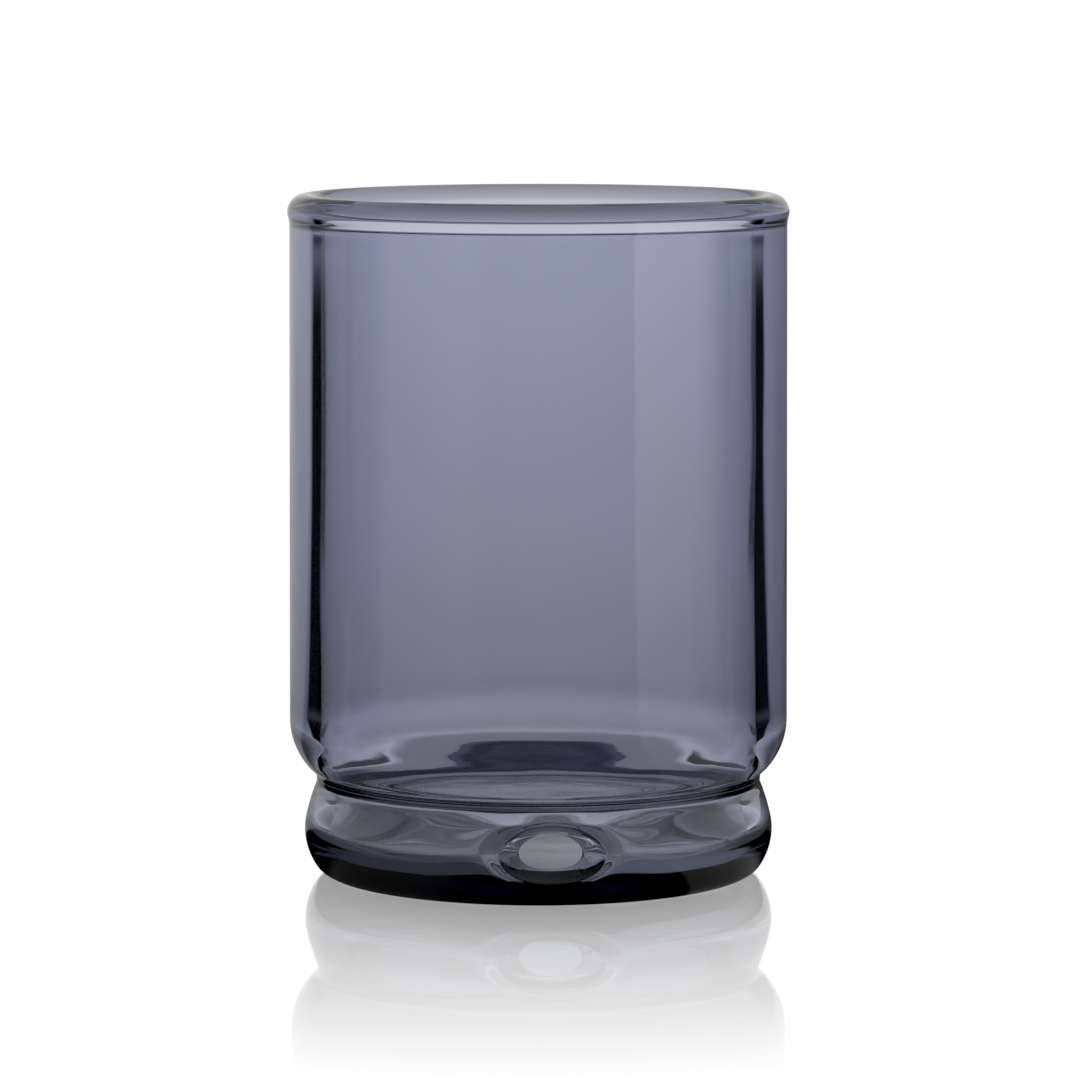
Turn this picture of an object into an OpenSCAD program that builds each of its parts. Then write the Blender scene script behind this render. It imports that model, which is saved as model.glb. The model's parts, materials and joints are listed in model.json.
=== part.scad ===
// Footed tumbler in thick smoked glass for a small milk coffee, in millimetres.
// The foot stands on z = 0, the axis of the cup is Z, and the vent faces -Y.

/* [Cup] */
// Height from the table to the top of the rim
glass_h = 82; // [74:1:92]
// Outer diameter at the shoulder, where the wall is widest
body_d = 60; // [57:0.5:64]
// How much narrower the wall is under the rim than at the shoulder
taper = 0.4; // [0:0.1:1.6]
// Thickness of the cup's wall
wall = 3.6; // [2.6:0.1:4.2]
// Thickness of the cup's floor
cup_floor = 2.1; // [1.6:0.1:3.6]
// Outer radius where the wall turns under into the floor
shoulder_round = 8.5; // [7.8:0.1:9.6]
// Inner radius where the wall turns into the floor
inner_round = 5.9; // [4.6:0.1:6.6]
// Height of the cup's underside above the table
cup_lift = 10.4; // [10:0.1:11.6]

/* [Rim] */
// How much thicker the fire-polished rim is than the wall below it
rim_swell = 0.5; // [0.2:0.1:1.2]

/* [Waist] */
// Angle below level at which the weld leaves the shoulder
weld_angle = 50; // [47:1:54]
// Depth of the groove that the weld leaves round the waist
waist_dip = 0.26; // [0.16:0.02:0.34]

/* [Foot] */
// How far the foot's belly stands in from the body's outline
foot_inset = 1.75; // [1.2:0.05:2.2]
// Height of the foot's belly, its widest circle
belly_z = 5.5; // [5:0.1:6]
// Radius of the belly's curve
belly_round = 7.6; // [7.2:0.1:8.4]
// Lean of the foot's side from the belly up to the waist, in degrees
flank_lean = 17; // [14:1:20]
// Radius at the edge of the standing face
base_round = 3; // [2.2:0.1:3.4]
// Thickness of the foot's side
foot_wall = 2.8; // [2.2:0.1:3.2]
// Thickness of the foot's floor
foot_floor = 3.6; // [2.2:0.1:4]

/* [Vent] */
// Clear width of the vent
vent_w = 7.2; // [5.6:0.2:9]
// Room left between the vent's lip and the top and floor of the hollow
vent_margin = 0.3; // [0.2:0.1:0.8]
// Width of the fire-polished lip around the vent
lip_w = 1.2; // [1:0.1:1.6]
// How far the lip is pushed through into the hollow of the foot
lip_reach = 1; // [0.6:0.1:1.6]

/* [Hidden] */
$fn = 128;

// Sides start this far inside the rounds they leave, so that the two cross cleanly
tuck = 0.002;
// How far a round runs on inside the side that it meets, in degrees
overrun = 6;

body_r = body_d / 2;
mouth_r = (body_d - taper) / 2;
floor_z = cup_lift + cup_floor;

// Centres of the rounds at the cup's shoulder, outside and inside
shoulder_r = body_r - shoulder_round;
shoulder_z = cup_lift + shoulder_round;
inner_r = body_r - wall - inner_round;
inner_z = floor_z + inner_round;

// The rim is a round bead whose chord is the wall's flat top
rim_round = (wall + rim_swell) / 2;
rim_r = mouth_r - wall / 2;
rim_z = glass_h - rim_round;
seat_z = rim_z - sqrt(rim_round * rim_round - wall * wall / 4);

// The belly's round runs into the base round below and the straight flank above
foot_r = body_r - foot_inset;
belly_r = foot_r - belly_round;
base_z = base_round;
base_step = belly_z - base_z;
base_gap = belly_round - base_round;
base_r = belly_r + sqrt(base_gap * base_gap - base_step * base_step) + tuck;
base_turn = atan2(-base_step, base_r - belly_r);
flank_r = belly_r + (belly_round - tuck) * cos(flank_lean);
flank_z = belly_z + (belly_round - tuck) * sin(flank_lean);
foot_top_r = flank_r - (cup_lift - flank_z) * tan(flank_lean);

// The hollow of the foot follows its outside at the wall's thickness
hollow_round = belly_round - foot_wall;
hollow_corner = belly_z - foot_floor;
corner_r = belly_r + hollow_round - hollow_corner + tuck;
hollow_flank_r = belly_r + (hollow_round - tuck) * cos(flank_lean);
hollow_flank_z = belly_z + (hollow_round - tuck) * sin(flank_lean);
hollow_top_r = hollow_flank_r - (cup_lift - hollow_flank_z) * tan(flank_lean);

// The weld's groove is an arc from the foot's top edge to a point on the shoulder
weld_r = shoulder_r + shoulder_round * cos(weld_angle);
weld_z = shoulder_z - shoulder_round * sin(weld_angle);
chord_r = weld_r - foot_top_r;
chord_z = weld_z - cup_lift;
chord = sqrt(chord_r * chord_r + chord_z * chord_z);
groove_round = (chord * chord / 4 + waist_dip * waist_dip) / (2 * waist_dip);
groove_set = groove_round - waist_dip;
groove_r = (weld_r + foot_top_r) / 2 + groove_set * chord_z / chord;
groove_z = (weld_z + cup_lift) / 2 - groove_set * chord_r / chord;

// The vent fills the hollow's height between its lips and is square to the belly there
vent_h = cup_lift - foot_floor - 2 * (lip_w + vent_margin);
vent_z = (foot_floor + cup_lift) / 2;
vent_pitch = asin((vent_z - belly_z) / belly_round);
vent_r = belly_r + belly_round * cos(vent_pitch);
lip_depth = foot_wall + lip_reach;
lip_round = lip_w - 0.2;
tip_round = lip_w / 2;
mouth_set = 0.4;
clear = 4;

// Area between the axis and the cup's outside
module cup_outline() {
  polygon([[0, cup_lift], [shoulder_r, cup_lift], [body_r, shoulder_z], [mouth_r, seat_z], [0, seat_z]]);
  translate([shoulder_r, shoulder_z])
    circle(r = shoulder_round);
}

// Area between the axis and the cup's inside, open at the top
module cup_hollow() {
  polygon([[0, floor_z], [inner_r, floor_z], [body_r - wall, inner_z], [mouth_r - wall, seat_z],
    [mouth_r - wall, seat_z + clear], [0, seat_z + clear]]);
  translate([inner_r, inner_z])
    circle(r = inner_round);
}

// Slice of a circle between two angles, with its point on the centre
module slice(r, from, to) {
  intersection() {
    circle(r = r);
    polygon([[0, 0], 2 * r * [cos(from), sin(from)], 2 * r * [cos(to), sin(to)]]);
  }
}

// Area between the axis and the foot's outside
module foot_outline() {
  deep = belly_round - base_round;
  polygon([[0, 0], [base_r, 0], [belly_r + deep * cos(base_turn), belly_z + deep * sin(base_turn)],
    [flank_r, flank_z], [foot_top_r, cup_lift], [0, cup_lift]]);
  translate([base_r, base_z])
    circle(r = base_round);
  translate([belly_r, belly_z])
    slice(belly_round, base_turn, flank_lean + overrun);
}

// Area between the axis and the foot's hollow, open at the top
module foot_hollow() {
  polygon([[0, foot_floor], [corner_r, foot_floor], [corner_r, belly_z], [hollow_flank_r, hollow_flank_z],
    [hollow_top_r, cup_lift], [hollow_top_r, cup_lift + clear], [0, cup_lift + clear]]);
  translate([corner_r, belly_z])
    circle(r = hollow_corner);
  translate([belly_r, belly_z])
    slice(hollow_round, 0, flank_lean + overrun);
}

// Places the vent's parts: their Z points out of the foot, their Y up
module at_vent() {
  translate([0, -vent_r, vent_z])
    rotate([90 - vent_pitch, 0, 0])
      children();
}

// Oval with round ends
module oval(w, h) {
  for (side = [-1, 1])
    translate([side * (w - h) / 2, 0])
      circle(d = h);
  square([w - h, h], center = true);
}

// The plug of wall that the lip takes the place of
module lip_plug() {
  at_vent()
    translate([0, 0, -lip_depth])
      linear_extrude(height = lip_depth + clear)
        oval(vent_w + 2 * lip_w, vent_h + 2 * lip_w);
}

// Half section of the vent's throat: narrow inside the lip and flared at both ends
module throat_section() {
  half = vent_h / 2;
  lip_z = -mouth_set - lip_round;
  tip_z = tip_round - lip_depth;
  difference() {
    translate([0, -lip_depth - clear])
      square([half + lip_round, lip_depth + 2 * clear]);
    translate([half + lip_round, lip_z])
      circle(r = lip_round);
    translate([half, tip_z])
      square([lip_round + 1, lip_z - tip_z]);
    translate([half + tip_round, tip_z])
      circle(r = tip_round);
    translate([half + tip_round, -lip_depth])
      square([lip_round + 1, lip_depth + lip_z]);
  }
}

// The throat is that section turned round each end and run straight between
module throat() {
  run = vent_w - vent_h;
  at_vent() {
    for (side = [-1, 1])
      translate([side * run / 2, 0, 0])
        rotate_extrude()
          throat_section();
    rotate([90, 0, 90])
      translate([0, 0, -run / 2])
        linear_extrude(height = run) {
          throat_section();
          mirror([1, 0])
            throat_section();
        }
  }
}

module cup_body() {
  color([0.42, 0.44, 0.53, 0.5])
    rotate_extrude()
      difference() {
        cup_outline();
        cup_hollow();
      }
}

module rim_bead() {
  color([0.46, 0.48, 0.57, 0.5])
    rotate_extrude()
      intersection() {
        translate([rim_r, rim_z])
          circle(r = rim_round);
        translate([rim_r - rim_round, seat_z])
          square([2 * rim_round, 2 * rim_round]);
      }
}

module waist_weld() {
  color([0.36, 0.38, 0.46, 0.5])
    rotate_extrude()
      difference() {
        translate([hollow_top_r, cup_lift])
          square([groove_r - hollow_top_r, chord_z + tuck]);
        translate([groove_r, groove_z])
          circle(r = groove_round);
        cup_outline();
      }
}

module foot_bulb() {
  color([0.34, 0.36, 0.44, 0.5])
    difference() {
      rotate_extrude()
        difference() {
          foot_outline();
          foot_hollow();
        }
      lip_plug();
    }
}

module vent_lip() {
  color([0.3, 0.32, 0.4, 0.5])
    difference() {
      intersection() {
        lip_plug();
        rotate_extrude()
          foot_outline();
      }
      throat();
    }
}

cup_body();
rim_bead();
waist_weld();
foot_bulb();
vent_lip();
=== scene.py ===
import json
import math

import bmesh
import bpy
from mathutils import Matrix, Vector

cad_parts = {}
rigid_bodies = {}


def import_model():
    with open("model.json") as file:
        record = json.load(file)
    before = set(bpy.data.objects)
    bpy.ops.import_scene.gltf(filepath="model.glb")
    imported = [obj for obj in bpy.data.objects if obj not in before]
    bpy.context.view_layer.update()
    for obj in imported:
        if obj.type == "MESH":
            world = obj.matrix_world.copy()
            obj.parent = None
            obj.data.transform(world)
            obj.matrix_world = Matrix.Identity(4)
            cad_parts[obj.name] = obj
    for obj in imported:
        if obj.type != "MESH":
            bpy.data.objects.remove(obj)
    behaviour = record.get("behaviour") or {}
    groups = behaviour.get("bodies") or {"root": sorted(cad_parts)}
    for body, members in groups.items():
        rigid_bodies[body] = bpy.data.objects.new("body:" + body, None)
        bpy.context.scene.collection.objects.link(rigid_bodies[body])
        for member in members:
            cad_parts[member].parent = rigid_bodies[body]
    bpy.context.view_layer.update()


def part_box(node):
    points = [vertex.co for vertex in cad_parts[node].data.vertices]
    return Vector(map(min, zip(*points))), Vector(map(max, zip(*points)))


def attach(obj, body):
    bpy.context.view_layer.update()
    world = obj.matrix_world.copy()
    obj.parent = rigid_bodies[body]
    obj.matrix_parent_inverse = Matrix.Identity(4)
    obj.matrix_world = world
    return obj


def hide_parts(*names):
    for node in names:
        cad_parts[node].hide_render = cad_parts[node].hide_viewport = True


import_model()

bl_info = {
    "name": "Smoked footed glass",
    "version": (1, 0, 0),
    "blender": (4, 5, 0),
    "location": "View3D > Sidebar > Glass",
    "description": "Blows a thick-walled footed tumbler with a vented foot "
                   "and sets it on a glossy pale table",
    "category": "Add Mesh",
}

MM = 0.001

# Columns of faces all round the glass, across the vent outside and across its lip inside
COLUMNS = 40
VENT_COLUMNS = 3
LIP_COLUMNS = 5

# Where rings of faces lie, as shares of the way along their stretch of the outline
CUP_FLOOR_RINGS = (0, 0.28, 0.52, 0.72, 0.87, 0.96)
WALL_RINGS = (0.024, 0.06, 0.125, 0.235, 0.385, 0.55, 0.715, 0.84, 0.92, 0.965, 0.99)
BASE_RINGS = (0.93, 0.8, 0.6, 0.33, 0)
CEILING_RINGS = (0, 0.3, 0.57, 0.78, 0.92, 1)
HOLLOW_FLOOR_RINGS = (0.92, 0.77, 0.55, 0.28, 0)

# Degrees on the outline's arcs
RIM_OVERLAP = 23
SHOULDER_END = -43
FLANK_LEAN = 17
BELLY_START, BELLY_END = 17.6, -18.4
HOLLOW_CORNER_START = -42

# The weld's groove in millimetres: out from its bottom and up from its middle
WAIST_GROOVE = ((0.19, 0.98), (0.04, 0.46), (0, 0.02), (0.05, -0.38), (0.27, -0.94))
FLANK_RISE = 2.1 * MM
# The hollow's side in millimetres above the flank's foot, from its top down
HOLLOW_RISES = (3.9, 2.3, 0.4)
HOLLOW_STEP = 0.1 * MM
# The ceiling's edge: its share of the flank's radius, then how far its corner lies in and up
CEILING_SHARE = 0.9
CEILING_IN, CEILING_UP = 0.6 * MM, 0.75 * MM
# Hairs that keep the smoothed rim and base just inside the solids' box
RIM_HAIR = 0.001 * MM
BASE_HAIR = 0.0138 * MM

# The vent's patch of wall: the reach of its edge, and the heights that its faces lie between
LIP_PATCH = (2.6 * MM, -2.6 * MM, 2.7 * MM)
FUNNEL_PATCH = (3.4 * MM, -3.5 * MM, 3.5 * MM)
PATCH_MARGIN = 1.02
# Shares: of the foot's radius, inside which no wall is looked for; of the edge's reach, past
# which none of it lies; and of the patch's half width and reach, past which a corner is edge
WALL_FROM = 0.7
EDGE_LIMIT = 1.3
EDGE_ASIDE, EDGE_ALOFT = 0.75, 0.6
# Draws a corner that lies on the patch's border inside it for the test
BORDER_SHARE = 0.9999
# How far the patch's square edge is drawn in: its corners, its ends, then its long sides
LIP_OVAL = ((0.86, 1, 0.8), (1, 1, 0.9), (1, 1, 1))
FUNNEL_OVAL = ((0.78, 1, 0.76), (1, 1, 0.85), (0.86, 1, 1))
LIP_TAPER = (0.8, 0.95)
# The funnel's rings in millimetres, half as wide and half as high as they are, and their depths
FUNNEL_RINGS = ((6.6, 3.5), (6.4, 3.4), (5.9, 3.2))
FUNNEL_DEPTHS = (0.3, 1.4, 3.6)
THROAT_FLARE = (1.05, 1.06)
THROAT_GAP = 0.35 * MM
SMOOTHED_SHARE = 0.955
VENT_FALL = 0.1

cup_low, cup_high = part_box("cup_body")
rim_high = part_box("rim_bead")[1]
foot_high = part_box("foot_bulb")[1]


def length(name, description, default):
    """A length in metres that the sidebar shows in the scene's own unit."""
    return bpy.props.FloatProperty(
        name=name, description=description, default=default,
        min=0.0, precision=5, subtype="DISTANCE", unit="LENGTH",
    )


class GlassSizes(bpy.types.PropertyGroup):
    """Sizes of the glass, taken from the solids where their boxes give them"""

    height: length("Height", "Table to the top of the rim", rim_high.z)
    body_radius: length("Body radius", "Outer radius at the shoulder", cup_high.x)
    taper: length("Taper", "How much smaller the radius is under the rim", 0.2 * MM)
    wall: length("Wall", "Thickness of the cup's wall", 3.8 * MM)
    rim_radius: length("Rim radius", "Outer radius of the fire-polished rim", rim_high.x)
    shoulder_round: length("Shoulder round", "Radius where the wall turns under", 8.5 * MM)
    cup_lift: length("Cup lift", "Height of the cup's underside", cup_low.z)
    floor_height: length("Floor height", "Height of the cup's floor inside", 11.5 * MM)
    floor_dip: length("Floor dip", "How far the cup's floor sinks in the middle", 0.2 * MM)
    inner_round: length("Inner round", "Radius between the inner wall and the floor", 6.2 * MM)
    waist_radius: length("Waist radius", "Radius at the bottom of the weld's groove", 26.77 * MM)
    waist_height: length("Waist height", "Height of the weld's groove", 11.4 * MM)
    foot_radius: length("Foot radius", "Radius of the foot's belly", foot_high.x)
    belly_height: length("Belly height", "Height of the foot's widest circle", 5.5 * MM)
    belly_round: length("Belly round", "Radius of the belly's curve", 7.6 * MM)
    base_round: length("Base round", "Radius at the edge of the standing face", 3.0 * MM)
    base_hollow: length("Base hollow", "How far the base's middle is off the table", 0.17 * MM)
    foot_wall: length("Foot wall", "Thickness of the foot's side", 2.95 * MM)
    foot_floor: length("Foot floor", "Thickness of the foot's floor", 3.25 * MM)
    foot_dip: length("Foot dip", "How far the hollow's floor sinks in the middle", 0.2 * MM)
    hollow_corner: length("Hollow corner", "Radius between the hollow's side and floor", 2.9 * MM)
    ceiling_height: length("Ceiling height", "Height of the ceiling at its edge", 10.9 * MM)
    ceiling_dip: length("Ceiling dip", "How far the ceiling hangs in the middle", 0.2 * MM)
    vent_height: length("Vent height", "Height of the vent's middle", 6.2 * MM)
    vent_half_width: length("Vent half width", "Half the clear width of the vent", 3.42 * MM)
    vent_half_rise: length("Vent half rise", "Half the clear height of the vent", 1.9 * MM)
    vent_reach: length("Vent reach", "How far the lip stands into the hollow", 2.0 * MM)


class GlassFinish(bpy.types.PropertyGroup):
    """Colour and optics of the glass"""

    smoke: bpy.props.FloatVectorProperty(
        name="Smoke", description="Colour that the glass lets through best", subtype="COLOR",
        size=4, min=0.0, max=1.0, default=(0.215, 0.268, 0.45, 1.0),
    )
    depth: bpy.props.FloatProperty(
        name="Depth of smoke", description="Absorption per metre of glass", default=190.0, min=0.0
    )
    bend: bpy.props.FloatProperty(
        name="Index", description="Index of refraction of the glass",
        default=1.47, min=1.0, max=2.0,
    )


class GlassStage(bpy.types.PropertyGroup):
    """The table, its light and the camera"""

    camera_distance: length("Camera distance", "From the glass's axis to the camera", 663 * MM)
    camera_height: length("Camera height", "Height of the camera above the table", 111 * MM)
    aim_height: length("Aim height", "Height that the camera looks at", 40.3 * MM)
    camera_turn: bpy.props.FloatProperty(
        name="Camera turn", description="How far the camera stands to the left of the vent",
        default=math.radians(3.4), subtype="ANGLE", unit="ROTATION",
    )
    lens: bpy.props.FloatProperty(
        name="Lens", description="Focal length in millimetres on a sensor 36 mm wide",
        default=184.5, min=1.0,
    )
    mirror: bpy.props.FloatProperty(
        name="Mirror", description="Strength of the table's reflection next to the foot",
        default=0.665, min=0.0, max=1.0, subtype="FACTOR",
    )
    mirror_reach: length("Mirror reach", "Where the reflection has faded, off the axis", 128 * MM)


def arc(centre, radius, start, end, steps):
    """Points on an arc about (r, z), from one angle to another in degrees."""
    turns = [math.radians(start + (end - start) * i / steps) for i in range(steps + 1)]
    return [(centre[0] + radius * math.cos(t), centre[1] + radius * math.sin(t)) for t in turns]


def dish(edge, height, dip, shares):
    """Points on a shallow dish, at shares of its edge's radius, that sinks by dip to its middle."""
    return [(edge * share, height - dip * (1 - share * share)) for share in shares]


def vessel_outline(s):
    """The glass's outside as (r, z), from the cup's floor over the rim to the standing face."""
    shoulder = (s.body_radius - s.shoulder_round, s.cup_lift + s.shoulder_round)
    inside = (s.body_radius - s.wall - s.inner_round, s.floor_height + s.inner_round)
    mouth = s.body_radius - s.taper
    rim_round = s.wall / 2 + s.rim_radius - mouth
    rim = (mouth - s.wall / 2, s.height - rim_round - RIM_HAIR)
    top = rim[1] - rim_round / 2

    def wall(radius, start, shares):
        return [(radius - s.taper * t, start[1] + (top - start[1]) * t) for t in shares]

    points = dish(inside[0], s.floor_height, s.floor_dip, CUP_FLOOR_RINGS)
    points += arc(inside, s.inner_round, -90, 0, 6)
    points += wall(s.body_radius - s.wall, inside, WALL_RINGS)
    points.append(arc(rim, rim_round, 180 + RIM_OVERLAP, 180, 1)[0])
    points += arc(rim, rim_round, 180, 0, 8)
    points.append(arc(rim, rim_round, -RIM_OVERLAP, 0, 1)[0])
    points += wall(s.body_radius, shoulder, reversed(WALL_RINGS))
    points += arc(shoulder, s.shoulder_round, 0, SHOULDER_END, 5)
    for out, up in WAIST_GROOVE:
        points.append((s.waist_radius + out * MM, s.waist_height + up * MM))
    belly = (s.foot_radius - s.belly_round, s.belly_height)
    flank = arc(belly, s.belly_round, FLANK_LEAN, 0, 1)[0]
    lean = math.tan(math.radians(FLANK_LEAN))
    points.append((flank[0] - FLANK_RISE * lean, flank[1] + FLANK_RISE))
    points += arc(belly, s.belly_round, BELLY_START, BELLY_END, 2)
    drop = s.belly_height - s.base_round
    gap = s.belly_round - s.base_round
    base = (belly[0] + math.sqrt(gap * gap - drop * drop), s.base_round)
    turn = -math.degrees(math.asin(drop / gap))
    points += arc(base, s.base_round, turn, -90, 3)
    points += dish(base[0], BASE_HAIR, -s.base_hollow, BASE_RINGS)
    return points


def hollow_outline(s):
    """The hollow of the foot as (r, z), from its ceiling's middle round to its floor's middle."""
    belly = (s.foot_radius - s.belly_round, s.belly_height)
    inner = s.belly_round - s.foot_wall
    flank = arc(belly, inner, FLANK_LEAN, 0, 1)[0]
    lean = math.tan(math.radians(FLANK_LEAN))
    side = [(flank[0] - up * MM * lean, flank[1] + up * MM) for up in HOLLOW_RISES]
    points = dish(CEILING_SHARE * flank[0], s.ceiling_height, s.ceiling_dip, CEILING_RINGS)
    points.append((side[0][0] - CEILING_IN, s.ceiling_height + CEILING_UP))
    points += side
    corner = (belly[0] + inner - s.hollow_corner, s.foot_floor + s.hollow_corner)
    points.append((belly[0] + inner, min(s.belly_height, corner[1]) - HOLLOW_STEP))
    points += arc(corner, s.hollow_corner, HOLLOW_CORNER_START, -90, 2)
    points += dish(corner[0], s.foot_floor, s.foot_dip, HOLLOW_FLOOR_RINGS)
    return points


def cage(points):
    """Corner points whose smooth subdivided line runs through the given points."""
    count = len(points)
    ring = 3 / (2 + math.cos(2 * math.pi / COLUMNS))
    lines = []
    for axis in (0, 1):
        below = [0.0] * count
        right = [0.0] * count
        right[0] = points[0][axis]
        for i in range(1, count - 1):
            share = 4 - below[i - 1]
            below[i] = 1 / share
            right[i] = (6 * points[i][axis] - right[i - 1]) / share
        line = [0.0] * count
        line[-1] = points[-1][axis]
        for i in range(count - 2, -1, -1):
            line[i] = right[i] - below[i] * line[i + 1]
        lines.append(line)
    return [(r * ring, z) for r, z in zip(*lines)]


def spin_outline(points):
    """Draws a line of points in the open mesh and spins it round the axis."""
    corners = cage(points)
    bpy.ops.mesh.select_all(action="DESELECT")
    bpy.ops.mesh.primitive_plane_add(size=0.01)
    bpy.ops.mesh.merge(type="CENTER")
    bpy.ops.transform.translate(value=(corners[0][0], 0, corners[0][1]))
    for start, end in zip(corners, corners[1:]):
        step = (end[0] - start[0], 0, end[1] - start[1])
        bpy.ops.mesh.extrude_region_move(TRANSFORM_OT_translate={"value": step})
    bpy.ops.mesh.select_linked()
    half_column = math.pi / COLUMNS
    bpy.ops.transform.rotate(value=half_column, orient_axis="Z", center_override=(0, 0, 0))
    bpy.ops.mesh.spin(steps=COLUMNS, angle=2 * math.pi, center=(0, 0, 0), axis=(0, 0, 1))


def pick(obj, kind, test):
    """Selects the open mesh's faces or vertices whose middle passes a test, and nothing else."""
    bpy.ops.mesh.select_mode(type="FACE" if kind == "faces" else "VERT")
    bpy.ops.mesh.select_all(action="DESELECT")
    mesh = bmesh.from_edit_mesh(obj.data)
    items = mesh.faces if kind == "faces" else mesh.verts
    found = [i for i in items if test(i.calc_center_median() if kind == "faces" else i.co)]
    for item in found:
        item.select_set(True)
    mesh.select_flush_mode()
    bmesh.update_edit_mesh(obj.data)
    if not found:
        raise RuntimeError(f"no {kind} were found at the vent")


def push_ring(place, scale):
    """Pushes the picked patch of wall in as one more ring, flat across the vent's axis."""
    bpy.ops.mesh.extrude_region_move(TRANSFORM_OT_translate={"value": (0, 0, 0)})
    bpy.ops.transform.resize(value=(scale[0], 0, scale[1]), center_override=place)


def open_vent(obj, s):
    """Pushes the foot's wall in at the front, opens it and joins it to the hollow with a lip."""
    mid = s.vent_height
    front = s.foot_radius
    back = front - s.foot_wall
    split = front - s.foot_wall / 2

    def half_turn(near):
        return PATCH_MARGIN * (VENT_COLUMNS if near else LIP_COLUMNS) * math.pi / COLUMNS

    def patch(near, low, high):
        """Tests for the outer wall in front of the vent where near, and else the hollow's wall."""
        def test(p):
            r = math.hypot(p.x, p.y)
            ahead = abs(math.atan2(p.x, -p.y)) < half_turn(near)
            level = low < p.z - mid < high
            return ahead and level and (r > split) == near and r > WALL_FROM * front
        return test

    def shape(near, reach, factors):
        """Draws the patch's square edge in to an oval: its corners, ends, then long sides."""
        wide = EDGE_ASIDE * half_turn(near) * front
        limit = EDGE_LIMIT * reach
        for factor, corner in zip(factors, (True, False, None)):
            def test(p):
                if not patch(near, -limit, limit)(p * BORDER_SHARE):
                    return False
                aside = abs(p.x) > wide
                aloft = abs(p.z - mid) > EDGE_ALOFT * reach
                if corner:
                    return aside and aloft
                return aside != aloft and aside == (corner is False)
            pick(obj, "verts", test)
            bpy.ops.transform.resize(value=factor, center_override=(0, -front, mid))

    # the inside: the lip's tip stands into the hollow
    shape(False, LIP_PATCH[0], LIP_OVAL)
    pick(obj, "faces", patch(False, *LIP_PATCH[1:]))
    for depth in (s.vent_reach / 2, s.vent_reach):
        push_ring((0, depth - back, mid - VENT_FALL * (s.foot_wall + depth)), LIP_TAPER)
    bpy.ops.mesh.delete(type="FACE")
    # the outside: a soft funnel down to the throat
    shape(True, FUNNEL_PATCH[0], FUNNEL_OVAL)
    pick(obj, "faces", patch(True, *FUNNEL_PATCH[1:]))
    throat = (s.vent_half_width / SMOOTHED_SHARE, s.vent_half_rise / SMOOTHED_SHARE)
    rings = [(wide * MM, high * MM) for wide, high in FUNNEL_RINGS]
    rings += [(throat[0] * THROAT_FLARE[0], throat[1] * THROAT_FLARE[1]), throat]
    depths = [depth * MM for depth in FUNNEL_DEPTHS]
    depths.append(s.foot_wall + s.vent_reach - THROAT_GAP)
    for before, after, depth in zip(rings, rings[1:], depths):
        scale = (after[0] / before[0], after[1] / before[1])
        push_ring((0, depth - front, mid - VENT_FALL * depth), scale)
    bpy.ops.mesh.delete(type="FACE")
    bpy.ops.mesh.select_mode(type="EDGE")
    bpy.ops.mesh.select_all(action="DESELECT")
    bpy.ops.mesh.select_non_manifold(
        use_wire=False, use_multi_face=False, use_non_contiguous=False, use_verts=False
    )
    bpy.ops.mesh.bridge_edge_loops()
    bpy.ops.mesh.select_mode(type="VERT")


def sockets(node, **values):
    """Sets a node's sockets by name, with spaces written as underscores."""
    for name, value in values.items():
        node.inputs[name.replace("_", " ")].default_value = value
    return node


def smoked_glass(finish):
    """Clear glass whose smoke deepens with its thickness, with the faint waves of hand work."""
    material = bpy.data.materials.new("smoked_glass")
    material.use_nodes = True
    tree = material.node_tree
    tree.nodes.clear()
    output = tree.nodes.new("ShaderNodeOutputMaterial")
    glass = sockets(
        tree.nodes.new("ShaderNodeBsdfPrincipled"),
        Base_Color=(1, 1, 1, 1), Roughness=0.0, IOR=finish.bend, Transmission_Weight=1.0,
    )
    smoke = sockets(
        tree.nodes.new("ShaderNodeVolumeAbsorption"), Color=finish.smoke, Density=finish.depth
    )
    place = tree.nodes.new("ShaderNodeTexCoord")
    stretch = sockets(tree.nodes.new("ShaderNodeMapping"), Scale=(1, 1, 0.25))
    waves = sockets(tree.nodes.new("ShaderNodeTexNoise"), Scale=120.0, Detail=1.0, Roughness=0.4)
    bump = sockets(tree.nodes.new("ShaderNodeBump"), Strength=0.04, Distance=0.002)
    link = tree.links.new
    link(place.outputs["Object"], stretch.inputs["Vector"])
    link(stretch.outputs["Vector"], waves.inputs["Vector"])
    link(waves.outputs["Fac"], bump.inputs["Height"])
    link(bump.outputs["Normal"], glass.inputs["Normal"])
    link(glass.outputs["BSDF"], output.inputs["Surface"])
    link(smoke.outputs["Volume"], output.inputs["Volume"])
    return material


class GLASS_OT_vessel(bpy.types.Operator):
    """Blow the cup, its rim, its waist and its vented foot as one fused piece of glass"""

    bl_idname = "glass.vessel"
    bl_label = "Blow the glass"

    def execute(self, context):
        s = context.scene.glass_sizes
        bpy.ops.object.select_all(action="DESELECT")
        bpy.ops.mesh.primitive_plane_add(size=0.01)
        vessel = context.object
        vessel.name = "glass"
        vessel.data.name = "glass"
        bpy.ops.object.mode_set(mode="EDIT")
        bpy.ops.mesh.delete(type="VERT")
        spin_outline(vessel_outline(s))
        spin_outline(hollow_outline(s))
        bpy.ops.mesh.select_all(action="SELECT")
        bpy.ops.mesh.remove_doubles(threshold=0.00001)
        open_vent(vessel, s)
        bpy.ops.mesh.select_all(action="SELECT")
        bpy.ops.mesh.normals_make_consistent(inside=False)
        bpy.ops.object.mode_set(mode="OBJECT")
        smooth = vessel.modifiers.new("smooth", "SUBSURF")
        smooth.levels = 2
        smooth.render_levels = 2
        bpy.ops.object.modifier_apply(modifier="smooth")
        bpy.ops.object.shade_smooth()
        vessel.data.materials.clear()
        vessel.data.materials.append(smoked_glass(context.scene.glass_finish))
        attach(vessel, "root")
        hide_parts("cup_body", "rim_bead", "waist_weld", "foot_bulb", "vent_lip")
        return {"FINISHED"}


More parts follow.
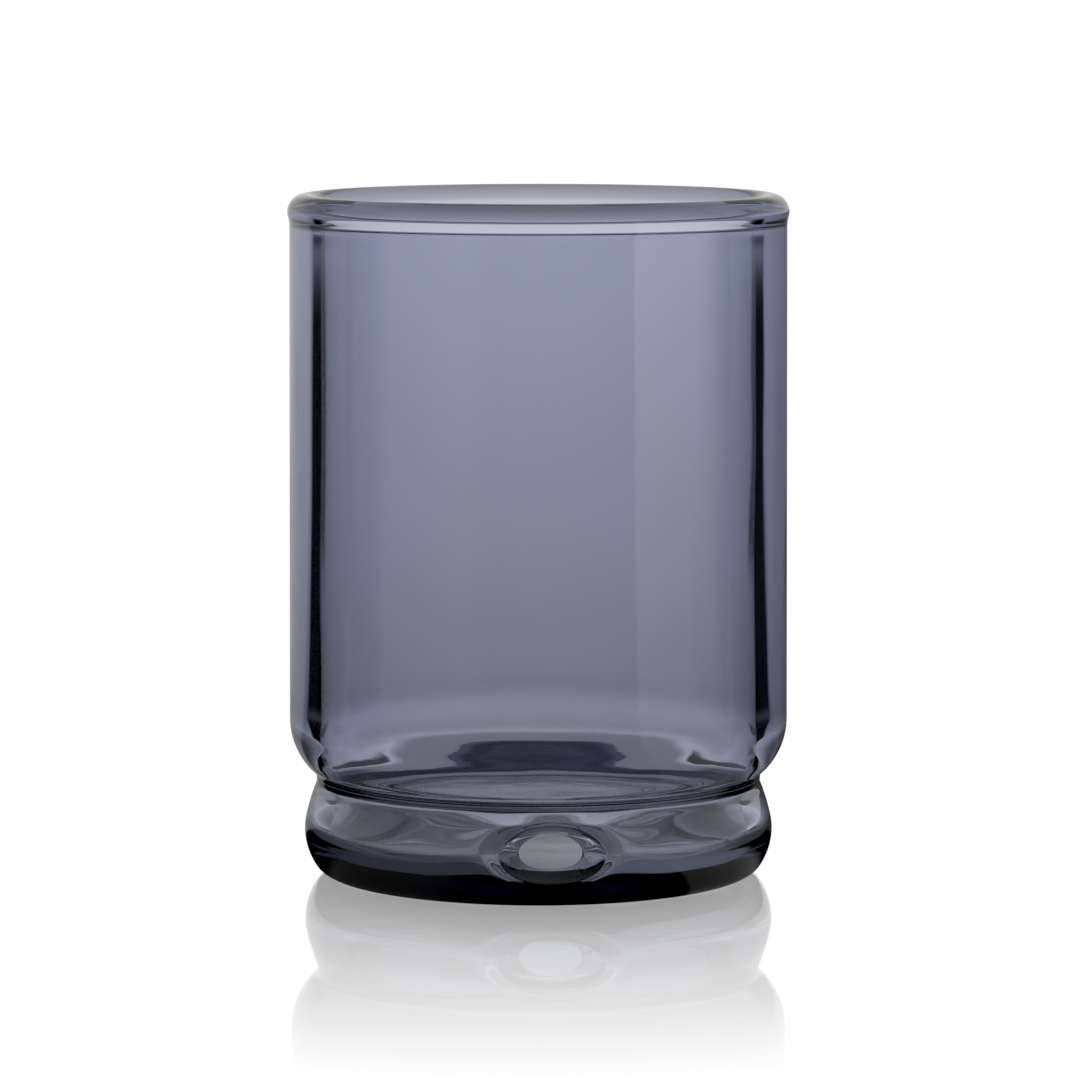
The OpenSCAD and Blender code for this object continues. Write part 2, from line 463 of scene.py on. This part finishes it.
class NodeMath:
    """Sums on a node tree's sockets, one Math node each."""

    def __init__(self, tree):
        self.tree = tree

    def __call__(self, operation, *values, clamp=False):
        node = self.tree.nodes.new("ShaderNodeMath")
        node.operation = operation
        node.use_clamp = clamp
        for socket, value in zip(node.inputs, values):
            if isinstance(value, (int, float)):
                socket.default_value = value
            else:
                self.tree.links.new(value, socket)
        return node.outputs[0]

    def ease(self, value, low, high):
        """0 below low, 1 above high and smooth between."""
        node = self.tree.nodes.new("ShaderNodeMapRange")
        node.interpolation_type = "SMOOTHSTEP"
        node.inputs["From Min"].default_value = low
        node.inputs["From Max"].default_value = high
        self.tree.links.new(value, node.inputs["Value"])
        return node.outputs["Result"]

    def band(self, value, low, high, soft_low, soft_high):
        """1 between low and high, with an edge of its own softness at each end."""
        up = self.ease(value, low - soft_low, low + soft_low)
        down = self.ease(value, high - soft_high, high + soft_high)
        return self("MULTIPLY", up, self("SUBTRACT", 1.0, down))

    def ramp(self, value, stops):
        """Grey levels from 0 to 1 at rising places from 0 to 1, straight between them."""
        node = self.tree.nodes.new("ShaderNodeValToRGB")
        points = node.color_ramp.elements
        while len(points) < len(stops):
            points.new(1.0)
        for point, (place, level) in zip(points, stops):
            point.position = place
            point.color = (level, level, level, 1)
        self.tree.links.new(value, node.inputs["Fac"])
        return node.outputs["Color"]

    def choose(self, factor, without, within):
        """One value where factor is 0 and the other where it is 1."""
        node = self.tree.nodes.new("ShaderNodeMix")
        for socket, value in zip(node.inputs[:4], (factor, None, without, within)):
            if isinstance(value, (int, float)):
                socket.default_value = value
            elif value is not None:
                self.tree.links.new(value, socket)
        return node.outputs[0]


# The stage. Turns are degrees to the right of straight behind the glass, distances are metres from
# its axis, and a band is its low and high end with the softness of each.
TABLE_RADIUS = 4.0
TABLE_THICKNESS = 0.02
TABLE_GAP = 0.00005
MIRROR_START = 0.025
AIM_ASIDE = 0.2 * MM
# How bright the table is through the glass, by distance: painted shade near the glass and painted
# light farther off
TABLE_LIGHT = (
    (0.004, 0.25), (0.026, 0.25), (0.032, 0.42), (0.06, 0.4), (0.09, 0.4), (0.13, 0.47),
    (0.2, 0.58), (0.35, 0.7), (0.7, 0.82), (1.5, 0.96), (4.0, 1.0),
)
# Painted shade on the table's flanks, right and left, seen through the glass alone: for light
# straight through the glass, which meets them only far off, and for light turned inside it
STRAIGHT_FLANK_SHADE = ((33.5, 78, 2, 1.5), (-72, -26.5, 1.5, 2))
STRAIGHT_FLANK_SHADE_FROM = (0.3, 0.42)
TURNED_FLANK_SHADE = ((43, 78, 2, 1.5), (-72, -37, 1.5, 2))
FLANK_SHADE_REACH = (0.14, 1.575, 0.03, 0.525)
# The shade on the table close beside the foot, but not in front of it or behind it
BESIDE_SHADE = 0.65
BESIDE_REACH = (0.028, 0.065, 0.004, 0.02)
BESIDE_GAP = (-28, 34, 4, 4)
# Painted light on the table under the foot, seen through the glass, from its left to its right
FOOT_EDGE = (0.025, 0.03)
FOOT_LEAN = (-0.012, 0.012)
FOOT_LIGHT_LEFT, FOOT_LIGHT_GAIN = 0.35, 0.85
# Painted light on the table, seen off the glass alone: its light behind the glass, which falls to
# the right, and two painted soft lights in front
BEHIND_TURN = (-48, 55, 3, 3)
BEHIND_FALL = (-10, 25)
BEHIND_LIGHT, BEHIND_LOSS = 0.75, 0.63
RIGHT_LIGHT, RIGHT_TURN = 1.5, (96, 139.4, 8, 1)
LEFT_LIGHT, LEFT_TURN = 0.45, (-150, -102.6, 10, 4)
# Painted light and shade in the surround, seen by the glass alone, by degrees above level: off the
# glass, straight through it and turned inside it
OFF_LIGHT = ((0, 0.72), (12, 0.72), (20, 0.4), (90, 0.4))
STRAIGHT_LIGHT = ((0, 0.95), (0.7, 0.9), (1.6, 0.1), (12, 0.06), (16, 0.15), (90, 0.15))
TURNED_LIGHT = (
    (0, 0.85), (1, 0.75), (4, 0.3), (6, 0.3), (9, 0.6), (12, 0.6), (16, 0.3), (90, 0.3),
)
# Painted light turned inside the glass, darker to the left and brighter to the right
TURNED_LEAN = (-25, 25)
TURNED_LEFT, TURNED_GAIN = 0.7, 0.6
# More passes through a face of the glass than this, and the light has gone through both walls
ONE_WALL = 2.5


def degrees_right(sums, split):
    """The turn to the right of straight behind the glass, in degrees."""
    return sums("MULTIPLY", sums("ARCTAN2", split.outputs["X"], split.outputs["Y"]), 180 / math.pi)


def table_top(stage):
    """A glossy white table, whose reflection fades away from the glass, and which glows with
    painted light and painted shade for rays through and off the glass alone, its sides dark with it
    through the glass."""
    material = bpy.data.materials.new("table_top")
    material.use_nodes = True
    tree = material.node_tree
    tree.nodes.clear()
    link = tree.links.new
    sums = NodeMath(tree)
    output = tree.nodes.new("ShaderNodeOutputMaterial")
    path = tree.nodes.new("ShaderNodeLightPath")
    place = tree.nodes.new("ShaderNodeTexCoord")
    split = tree.nodes.new("ShaderNodeSeparateXYZ")
    link(place.outputs["Object"], split.inputs["Vector"])
    reach = tree.nodes.new("ShaderNodeVectorMath")
    reach.operation = "LENGTH"
    link(place.outputs["Object"], reach.inputs[0])
    away = reach.outputs["Value"]
    turn = degrees_right(sums, split)

    # painted light from the table through the glass: painted shade under it, beside it and on its
    # flanks
    nearest = TABLE_LIGHT[0][0]
    scale = math.log(TABLE_LIGHT[-1][0] / nearest)
    stops = [(math.log(distance / nearest) / scale, level) for distance, level in TABLE_LIGHT]
    farther = sums("LOGARITHM", sums("DIVIDE", away, nearest), math.e)
    level = sums.ramp(sums("DIVIDE", farther, scale, clamp=True), stops)
    straight, turned = [
        sums("ADD", *[sums.band(turn, *flank) for flank in flank_shade])
        for flank_shade in (STRAIGHT_FLANK_SHADE, TURNED_FLANK_SHADE)
    ]
    straight = sums("MULTIPLY", straight, sums.ease(away, *STRAIGHT_FLANK_SHADE_FROM))
    bounced = sums("MINIMUM", path.outputs["Glossy Depth"], 1.0)
    # painted shade on the flanks, darkening the table's glow through the glass
    flank_shade = sums("MULTIPLY", sums.choose(bounced, straight, turned),
                  sums.band(away, *FLANK_SHADE_REACH))
    through = sums("MULTIPLY", level, sums("SUBTRACT", 1.0, flank_shade))
    beside = sums("SUBTRACT", 1.0, sums.band(turn, *BESIDE_GAP))
    beside = sums("MULTIPLY", beside, sums.band(away, *BESIDE_REACH))
    through = sums("MULTIPLY", through, sums("MULTIPLY_ADD", beside, -BESIDE_SHADE, 1.0))
    under = sums("SUBTRACT", 1.0, sums.ease(away, *FOOT_EDGE))
    lean = sums.ease(split.outputs["X"], *FOOT_LEAN)
    lean = sums("MULTIPLY_ADD", lean, FOOT_LIGHT_GAIN, FOOT_LIGHT_LEFT)
    through = sums("MULTIPLY", through, sums.choose(under, 1.0, lean))

    # painted light from the table off the glass: white behind it and two painted soft lights in
    # front, seen only in the glass's reflection
    behind = sums.ease(turn, *BEHIND_FALL)
    behind = sums("MULTIPLY_ADD", behind, -BEHIND_LOSS, BEHIND_LIGHT)
    behind = sums("MULTIPLY", behind, sums("MULTIPLY", sums.band(turn, *BEHIND_TURN), level))
    right = sums("MULTIPLY", sums.band(turn, *RIGHT_TURN), RIGHT_LIGHT)
    left = sums("MULTIPLY", sums.band(turn, *LEFT_TURN), LEFT_LIGHT)
    lights = sums("MULTIPLY", sums("ADD", right, left), level)
    off = sums("MULTIPLY_ADD", lights, level, behind)

    # the table glows though it is no lamp, for rays through and off the glass: painted light and
    # shade
    glow = tree.nodes.new("ShaderNodeEmission")
    inside = sums("MINIMUM", path.outputs["Transmission Depth"], 1.0)
    link(sums.choose(inside, off, through), glow.inputs["Strength"])

    # what the camera sees: white, with the reflection near the foot and a faint shadow
    white = sockets(tree.nodes.new("ShaderNodeEmission"), Strength=0.95)
    matt = sockets(tree.nodes.new("ShaderNodeBsdfDiffuse"), Color=(0.07, 0.07, 0.07, 1))
    paper = tree.nodes.new("ShaderNodeAddShader")
    link(white.outputs[0], paper.inputs[0])
    link(matt.outputs[0], paper.inputs[1])
    polish = tree.nodes.new("ShaderNodeBsdfGlossy")
    sockets(polish, Color=(1, 1, 1, 1), Roughness=0.02)
    near = sums("SUBTRACT", stage.mirror_reach, away)
    fade = sums("DIVIDE", near, stage.mirror_reach - MIRROR_START, clamp=True)
    seen = tree.nodes.new("ShaderNodeMixShader")
    link(sums("MULTIPLY", fade, stage.mirror), seen.inputs[0])
    link(paper.outputs[0], seen.inputs[1])
    link(polish.outputs[0], seen.inputs[2])

    surface = tree.nodes.new("ShaderNodeMixShader")
    link(path.outputs["Is Camera Ray"], surface.inputs[0])
    link(glow.outputs[0], surface.inputs[1])
    link(seen.outputs[0], surface.inputs[2])
    link(surface.outputs[0], output.inputs["Surface"])
    return material


def surround(scene):
    """A white surround, which shows painted lights and painted dark bands, in place of dark cards,
    through the glass alone.
    """
    world = bpy.data.worlds.new("surround")
    scene.world = world
    world.use_nodes = True
    tree = world.node_tree
    link = tree.links.new
    sums = NodeMath(tree)
    path = tree.nodes.new("ShaderNodeLightPath")
    place = tree.nodes.new("ShaderNodeTexCoord")
    split = tree.nodes.new("ShaderNodeSeparateXYZ")
    link(place.outputs["Generated"], split.inputs["Vector"])
    rise = sums("DIVIDE", sums("ARCSINE", split.outputs["Z"]), math.pi / 2, clamp=True)
    turn = degrees_right(sums, split)
    off, straight, turned = [
        sums.ramp(rise, [(degrees / 90, level) for degrees, level in lights])
        for lights in (OFF_LIGHT, STRAIGHT_LIGHT, TURNED_LIGHT)
    ]
    lean = sums("MULTIPLY_ADD", sums.ease(turn, *TURNED_LEAN), TURNED_GAIN, TURNED_LEFT)
    turned = sums("MULTIPLY", turned, lean)
    through_both = sums("GREATER_THAN", path.outputs["Transmission Depth"], ONE_WALL)
    straight = sums.choose(through_both, 1.0, straight)
    inside = sums("MINIMUM", path.outputs["Transmission Depth"], 1.0)
    bounced = sums("MINIMUM", path.outputs["Glossy Depth"], 1.0)
    glassy = sums.choose(inside, off, sums.choose(bounced, straight, turned))
    ground = sockets(tree.nodes["Background"], Color=(1, 1, 1, 1))
    # rays off and through the glass see the painted light and shade, all other rays plain white
    link(sums.choose(path.outputs["Is Singular Ray"], 1.0, glassy), ground.inputs["Strength"])


class GLASS_OT_stage(bpy.types.Operator):
    """Set the table, the white surround and the camera"""

    bl_idname = "glass.stage"
    bl_label = "Set the stage"

    def execute(self, context):
        stage = context.scene.glass_stage
        scene = context.scene
        bpy.ops.object.select_all(action="DESELECT")
        bpy.ops.mesh.primitive_circle_add(
            vertices=96, radius=TABLE_RADIUS, fill_type="NGON", location=(0, 0, -TABLE_GAP)
        )
        table = context.object
        table.name = "table"
        bpy.ops.object.mode_set(mode="EDIT")
        bpy.ops.mesh.select_all(action="SELECT")
        down = (0, 0, -TABLE_THICKNESS)
        bpy.ops.mesh.extrude_region_move(TRANSFORM_OT_translate={"value": down})
        bpy.ops.mesh.select_all(action="SELECT")
        bpy.ops.mesh.normals_make_consistent(inside=False)
        bpy.ops.object.mode_set(mode="OBJECT")
        bpy.ops.object.transform_apply(location=True, rotation=False, scale=False)
        table.data.materials.append(table_top(stage))
        surround(scene)

        camera = bpy.data.cameras.new("camera")
        camera.sensor_width = 36
        camera.lens = stage.lens
        camera.clip_start = 0.01
        viewer = bpy.data.objects.new("camera", camera)
        scene.collection.objects.link(viewer)
        side = Vector((math.cos(stage.camera_turn), -math.sin(stage.camera_turn), 0))
        ahead = Vector((math.sin(stage.camera_turn), math.cos(stage.camera_turn), 0))
        viewer.location = -ahead * stage.camera_distance + Vector((0, 0, stage.camera_height))
        aim = side * AIM_ASIDE + Vector((0, 0, stage.aim_height))
        viewer.rotation_euler = (aim - viewer.location).to_track_quat("-Z", "Y").to_euler()
        scene.camera = viewer
        scene.view_settings.view_transform = "Standard"
        return {"FINISHED"}


class GLASS_PT_panel(bpy.types.Panel):
    """The glass's sizes, finish and stage"""

    bl_idname = "GLASS_PT_panel"
    bl_label = "Smoked footed glass"
    bl_space_type = "VIEW_3D"
    bl_region_type = "UI"
    bl_category = "Glass"

    def draw(self, context):
        scene = context.scene
        for operator, settings in (
            ("glass.vessel", (scene.glass_sizes, scene.glass_finish)),
            ("glass.stage", (scene.glass_stage,)),
        ):
            box = self.layout.box()
            for group in settings:
                for name in group.bl_rna.properties.keys():
                    if name not in {"rna_type", "name"}:
                        box.prop(group, name)
            box.operator(operator)


CLASSES = (GlassSizes, GlassFinish, GlassStage, GLASS_OT_vessel, GLASS_OT_stage, GLASS_PT_panel)


def register():
    for item in CLASSES:
        bpy.utils.register_class(item)
    bpy.types.Scene.glass_sizes = bpy.props.PointerProperty(type=GlassSizes)
    bpy.types.Scene.glass_finish = bpy.props.PointerProperty(type=GlassFinish)
    bpy.types.Scene.glass_stage = bpy.props.PointerProperty(type=GlassStage)


def unregister():
    del bpy.types.Scene.glass_stage
    del bpy.types.Scene.glass_finish
    del bpy.types.Scene.glass_sizes
    for item in reversed(CLASSES):
        bpy.utils.unregister_class(item)


def main():
    register()
    bpy.ops.glass.vessel()
    bpy.ops.glass.stage()


if __name__ == "__main__":
    main()
